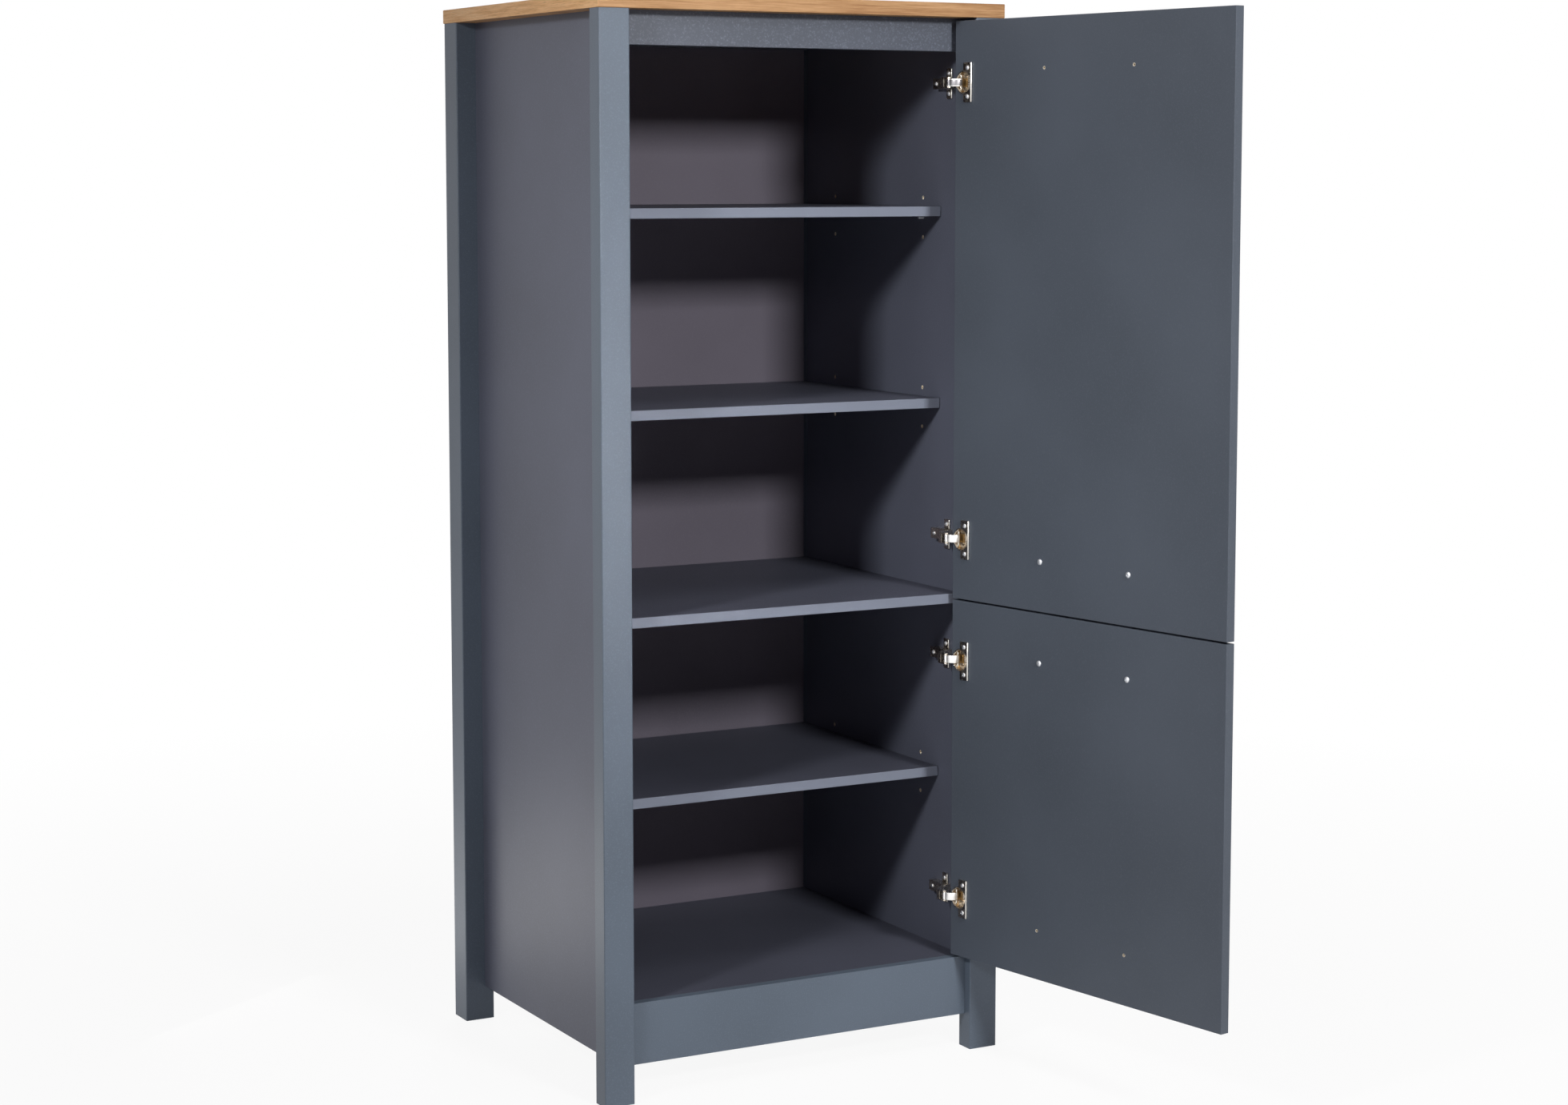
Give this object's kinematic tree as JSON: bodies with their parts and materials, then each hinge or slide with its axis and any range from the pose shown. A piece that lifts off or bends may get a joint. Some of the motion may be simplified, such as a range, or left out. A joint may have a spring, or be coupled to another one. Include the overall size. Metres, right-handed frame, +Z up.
{
  "type": "storage cabinet",
  "caption": "Tall lacquered storage cabinet on square legs with an oak-look top, fixed and loose shelves, and an upper and a lower door on concealed cup hinges, standing open.",
  "frame": {"origin": "on the floor, at the centre of the rectangle that the four legs stand on", "axes": "+X to the right as seen from the front, +Y to the back, +Z up"},
  "size_m": [0.7538, 1.1587, 1.682],
  "materials": {
    "slate_board": "matte slate-grey lacquer on board",
    "oak": "oak-look laminate",
    "beech": "raw beech",
    "nickel_steel": "nickel-plated pressed steel",
    "zinc_steel": "zinc-plated steel",
    "handle_steel": "brushed steel"
  },
  "bodies": {
    "carcass": {"apron_front": "slate_board", "arm_pins": "zinc_steel", "arm_screws": "zinc_steel", "back_panel": "slate_board", "back_screws": "zinc_steel", "bottom_panel": "slate_board", "dowels_boards": "beech", "dowels_rails": "beech", "dowels_sides": "beech", "dowels_top": "beech", "fixed_shelf": "slate_board", "hinge_arm_lower_bottom": "nickel_steel", "hinge_arm_lower_top": "nickel_steel", "hinge_arm_upper_bottom": "nickel_steel", "hinge_arm_upper_top": "nickel_steel", "hinge_plate_lower_bottom": "nickel_steel", "hinge_plate_lower_top": "nickel_steel", "hinge_plate_upper_bottom": "nickel_steel", "hinge_plate_upper_top": "nickel_steel", "leg_front_left": "slate_board", "leg_front_right": "slate_board", "leg_rear_left": "slate_board", "leg_rear_right": "slate_board", "loose_shelf_lower": "slate_board", "loose_shelf_middle": "slate_board", "loose_shelf_upper": "slate_board", "plate_screws": "zinc_steel", "shelf_pins": "zinc_steel", "side_panel_left": "slate_board", "side_panel_right": "slate_board", "top_board": "oak", "top_rail_front": "slate_board", "top_rail_rear": "slate_board"},
    "door_lower": {"cup_screws_lower": "zinc_steel", "door_lower": "slate_board", "handle_lower": "handle_steel", "handle_screws_lower": "zinc_steel", "hinge_cup_lower_bottom": "nickel_steel", "hinge_cup_lower_top": "nickel_steel"},
    "door_upper": {"cup_screws_upper": "zinc_steel", "door_upper": "slate_board", "handle_screws_upper": "zinc_steel", "handle_upper": "handle_steel", "hinge_cup_upper_bottom": "nickel_steel", "hinge_cup_upper_top": "nickel_steel"},
    "links_lower": {"hinge_link_lower_bottom": "nickel_steel", "hinge_link_lower_top": "nickel_steel"},
    "links_upper": {"hinge_link_upper_bottom": "nickel_steel", "hinge_link_upper_top": "nickel_steel"}
  },
  "joints": [
    {"name": "upper_door_hinge", "type": "hinge", "parent": "carcass", "child": "door_upper", "pos_m": [0.292, -0.2785, 1.1975], "axis": [0, 0, 1], "range_deg": [-100, 0]},
    {"name": "lower_door_hinge", "type": "hinge", "parent": "carcass", "child": "door_lower", "pos_m": [0.292, -0.2785, 0.447], "axis": [0, 0, 1], "range_deg": [-100, 0]},
    {"name": "upper_link_turn", "type": "hinge", "parent": "carcass", "child": "links_upper", "pos_m": [0.26906, -0.26935, 1.1975], "axis": [0, 0, 1], "range_deg": [0, 43.2]},
    {"name": "lower_link_turn", "type": "hinge", "parent": "carcass", "child": "links_lower", "pos_m": [0.26906, -0.26935, 0.447], "axis": [0, 0, 1], "range_deg": [0, 43.2]}
  ],
  "couplings": [
    {"joint": "upper_link_turn", "follows": "upper_door_hinge", "ratio": -0.43196},
    {"joint": "lower_link_turn", "follows": "lower_door_hinge", "ratio": -0.43196}
  ]
}
